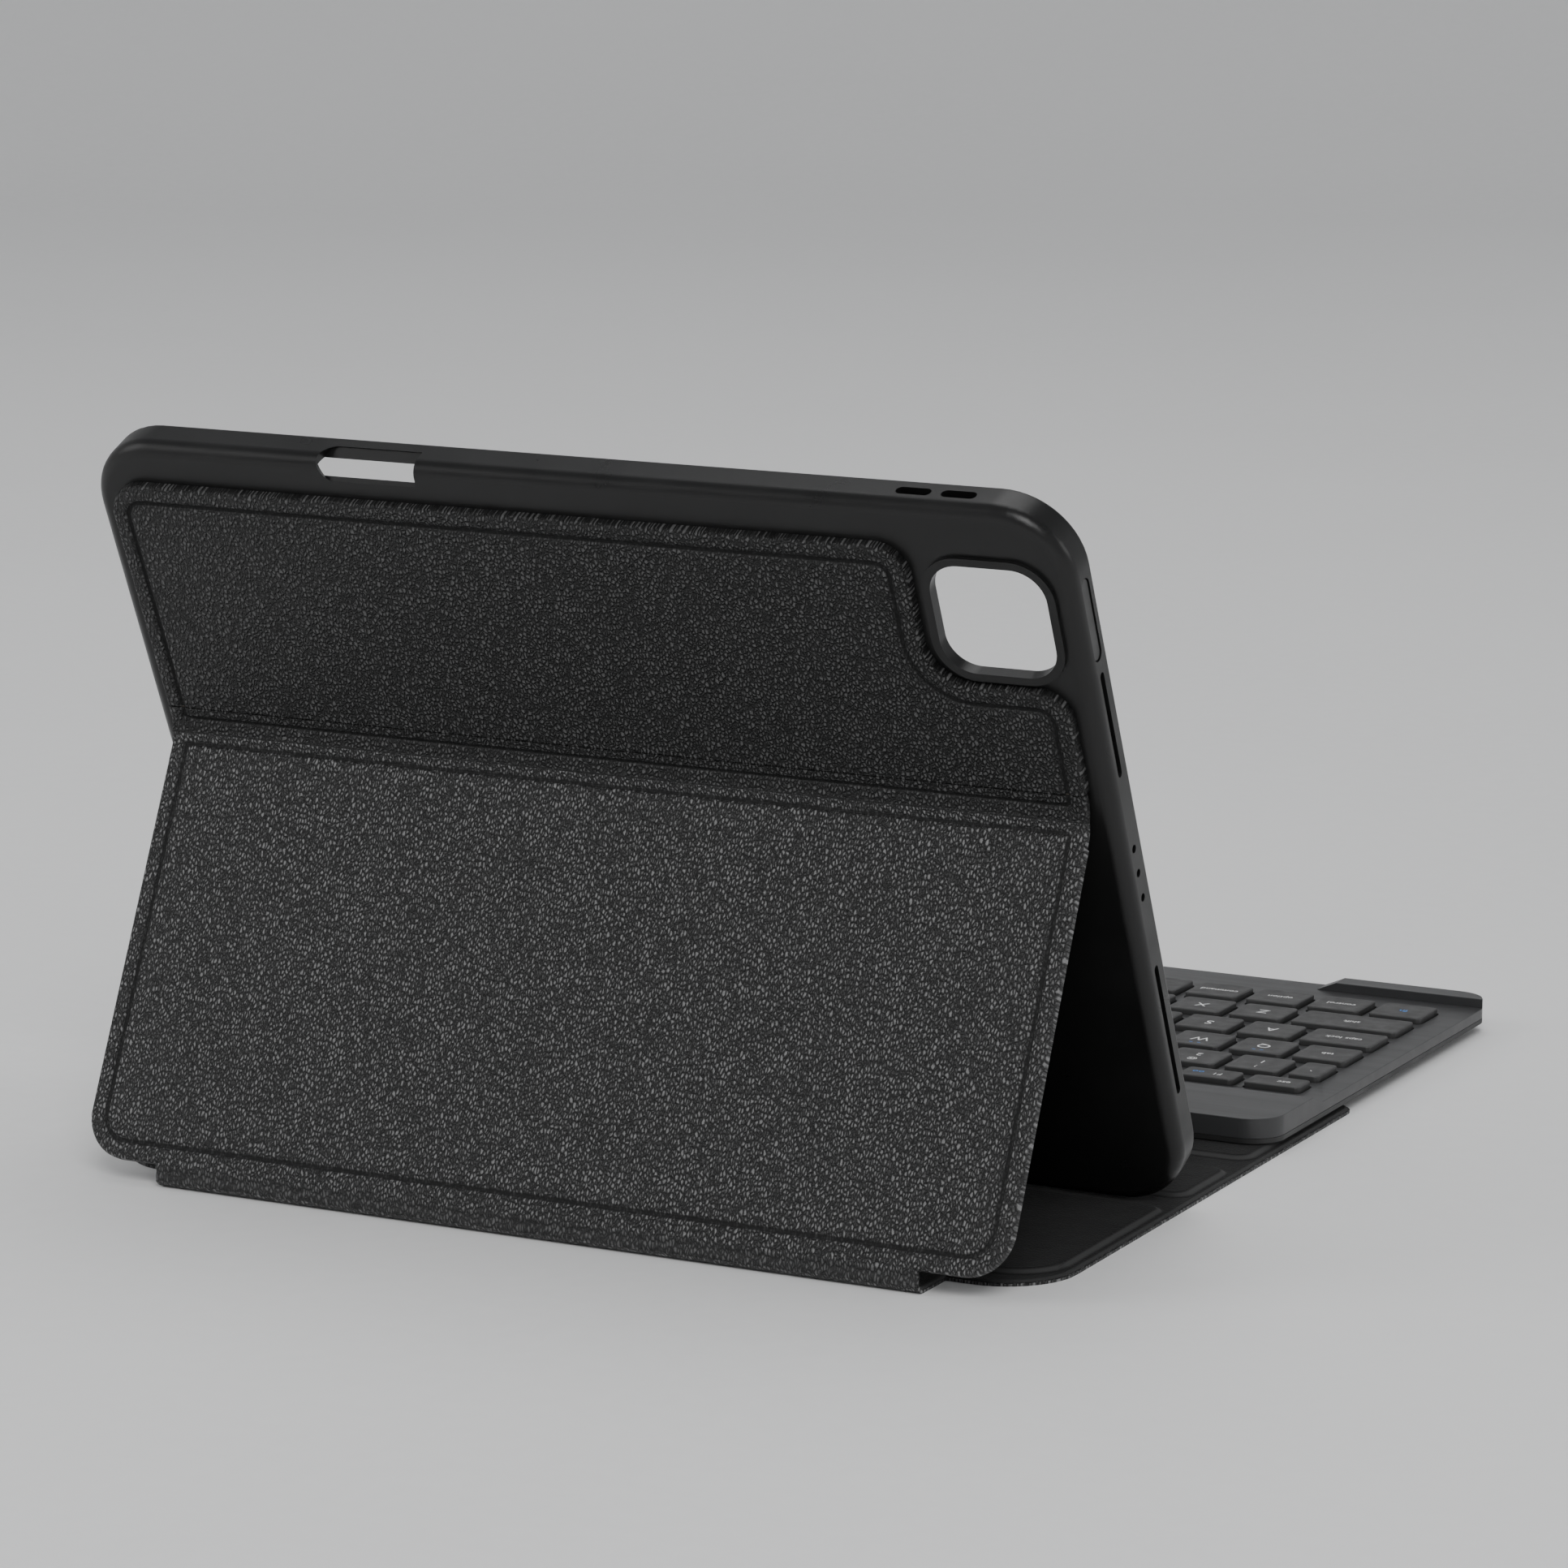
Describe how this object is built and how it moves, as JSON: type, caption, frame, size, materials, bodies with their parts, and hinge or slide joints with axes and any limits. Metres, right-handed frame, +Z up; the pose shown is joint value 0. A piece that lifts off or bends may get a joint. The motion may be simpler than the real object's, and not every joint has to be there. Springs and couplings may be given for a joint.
{
  "type": "tablet keyboard case",
  "caption": "Folio keyboard case standing open: moulded tablet shell on a folding leather panel, suede-lined base flap and a slim keyboard that lifts off.",
  "frame": {"origin": "on the table, at the centre of the whole case's outline seen from above, in the standing pose", "axes": "+X to the user's right, +Y away from the user, from the keyboard to the folding panel, +Z up"},
  "size_m": [0.254, 0.3064, 0.1799],
  "materials": {
    "base_skin": "matt grained synthetic leather",
    "suede_lining": "short-pile synthetic suede",
    "stiffener_board": "pressed fibre board",
    "panel_leather": "pebbled synthetic leather, low sheen",
    "upper_leather": "fine-grained synthetic leather, low sheen",
    "shell_plastic": "satin moulded plastic",
    "tray_microfibre": "brushed microfibre",
    "magnet_nickel": "nickel plated",
    "plate_steel": "plain cold-rolled steel",
    "button_plastic": "satin moulded plastic",
    "keyboard_frame": "satin moulded plastic, brushed rear bar",
    "keyboard_case": "satin moulded plastic",
    "key_plastic": "matt key tops with printed marks",
    "membrane_film": "printed polyester film",
    "dome_rubber": "silicone rubber",
    "scissor_plastic": "white acetal",
    "battery_foil": "laminated foil pouch",
    "circuit_board": "solder-masked board",
    "port_metal": "drawn steel shell",
    "light_lens": "clear light guide",
    "foot_rubber": "matt rubber",
    "screw_steel": "dark zinc plated"
  },
  "bodies": {
    "base": {"base_outer_skin": "base_skin", "base_lining": "suede_lining", "base_board_rear": "stiffener_board", "base_board_middle": "stiffener_board", "base_board_front": "stiffener_board", "base_steel_strip": "plate_steel", "base_magnets": "magnet_nickel"},
    "fold": {"fold_outer_skin": "panel_leather", "fold_lining": "suede_lining"},
    "kick_panel": {"kick_outer_skin": "panel_leather", "kick_board": "stiffener_board", "kick_lining": "suede_lining", "kick_magnets": "magnet_nickel"},
    "shell": {"tablet_shell": "shell_plastic", "tray_lining": "tray_microfibre", "upper_outer_skin": "upper_leather", "upper_board": "stiffener_board", "shell_magnets": "magnet_nickel", "shell_foot_magnets": "magnet_nickel"},
    "power_button": {"power_button_cap": "button_plastic"},
    "keyboard": {"keyboard_top_frame": "keyboard_frame", "keyboard_bottom_case": "keyboard_case", "key_support_plate": "plate_steel", "membrane_circuit": "membrane_film", "rubber_domes": "dome_rubber", "scissor_frames": "scissor_plastic", "battery_pack": "battery_foil", "control_board": "circuit_board", "charging_port": "port_metal", "status_lights": "light_lens", "keyboard_steel_plate": "plate_steel", "front_rubber_feet": "foot_rubber", "case_screws": "screw_steel"},
    "function_key_row": {"function_keys": "key_plastic"},
    "number_key_row": {"number_keys": "key_plastic"},
    "upper_letter_row": {"upper_letter_keys": "key_plastic"},
    "home_letter_row": {"home_letter_keys": "key_plastic"},
    "lower_letter_row": {"lower_letter_keys": "key_plastic"},
    "command_key_group": {"command_keys": "key_plastic"},
    "space_bar_key": {"space_bar": "key_plastic"},
    "arrow_key_group": {"arrow_keys": "key_plastic"},
    "switch_slider": {"power_switch": "button_plastic"}
  },
  "joints": [
    {"name": "fold_lift", "type": "hinge", "parent": "base", "child": "fold", "pos_m": [0, 0.15107, 0.00094], "axis": [-1, 0, 0], "range_deg": [0, 57.25]},
    {"name": "stand_open", "type": "hinge", "parent": "fold", "child": "kick_panel", "pos_m": [0, 0.15292, 0.0038], "axis": [-1, 0, 0], "range_deg": [0, 57.25]},
    {"name": "crease_fold", "type": "hinge", "parent": "kick_panel", "child": "shell", "pos_m": [0, 0.10911, 0.1022], "axis": [1, 0, 0], "range_deg": [0, 49]},
    {"name": "power_button_press", "type": "slide", "parent": "shell", "child": "power_button", "axis": [1, 0, 0], "range_m": [0, 0.0004], "stiffness_N_per_m": 1500, "springref_m": -0.0004},
    {"name": "keyboard_lift_off", "type": "slide", "parent": "base", "child": "keyboard", "axis": [0, 0, 1], "range_m": [0, 0.03]},
    {"name": "function_keys_press", "type": "slide", "parent": "keyboard", "child": "function_key_row", "axis": [0, 0, -1], "range_m": [0, 0.0012], "stiffness_N_per_m": 1000, "springref_m": -0.0006},
    {"name": "number_keys_press", "type": "slide", "parent": "keyboard", "child": "number_key_row", "axis": [0, 0, -1], "range_m": [0, 0.0012], "stiffness_N_per_m": 1200, "springref_m": -0.0006},
    {"name": "upper_letter_keys_press", "type": "slide", "parent": "keyboard", "child": "upper_letter_row", "axis": [0, 0, -1], "range_m": [0, 0.0012], "stiffness_N_per_m": 1200, "springref_m": -0.0006},
    {"name": "home_letter_keys_press", "type": "slide", "parent": "keyboard", "child": "home_letter_row", "axis": [0, 0, -1], "range_m": [0, 0.0012], "stiffness_N_per_m": 1200, "springref_m": -0.0006},
    {"name": "lower_letter_keys_press", "type": "slide", "parent": "keyboard", "child": "lower_letter_row", "axis": [0, 0, -1], "range_m": [0, 0.0012], "stiffness_N_per_m": 1200, "springref_m": -0.0006},
    {"name": "command_keys_press", "type": "slide", "parent": "keyboard", "child": "command_key_group", "axis": [0, 0, -1], "range_m": [0, 0.0012], "stiffness_N_per_m": 800, "springref_m": -0.0006},
    {"name": "space_bar_press", "type": "slide", "parent": "keyboard", "child": "space_bar_key", "axis": [0, 0, -1], "range_m": [0, 0.0012], "stiffness_N_per_m": 500, "springref_m": -0.0006},
    {"name": "arrow_keys_press", "type": "slide", "parent": "keyboard", "child": "arrow_key_group", "axis": [0, 0, -1], "range_m": [0, 0.0012], "stiffness_N_per_m": 600, "springref_m": -0.0006},
    {"name": "power_switch_slide", "type": "slide", "parent": "keyboard", "child": "switch_slider", "axis": [0, 1, 0], "range_m": [0, 0.002]}
  ],
  "couplings": [
    {"joint": "fold_lift", "follows": "stand_open", "ratio": 1},
    {"joint": "crease_fold", "follows": "stand_open", "ratio": 0.85589}
  ]
}
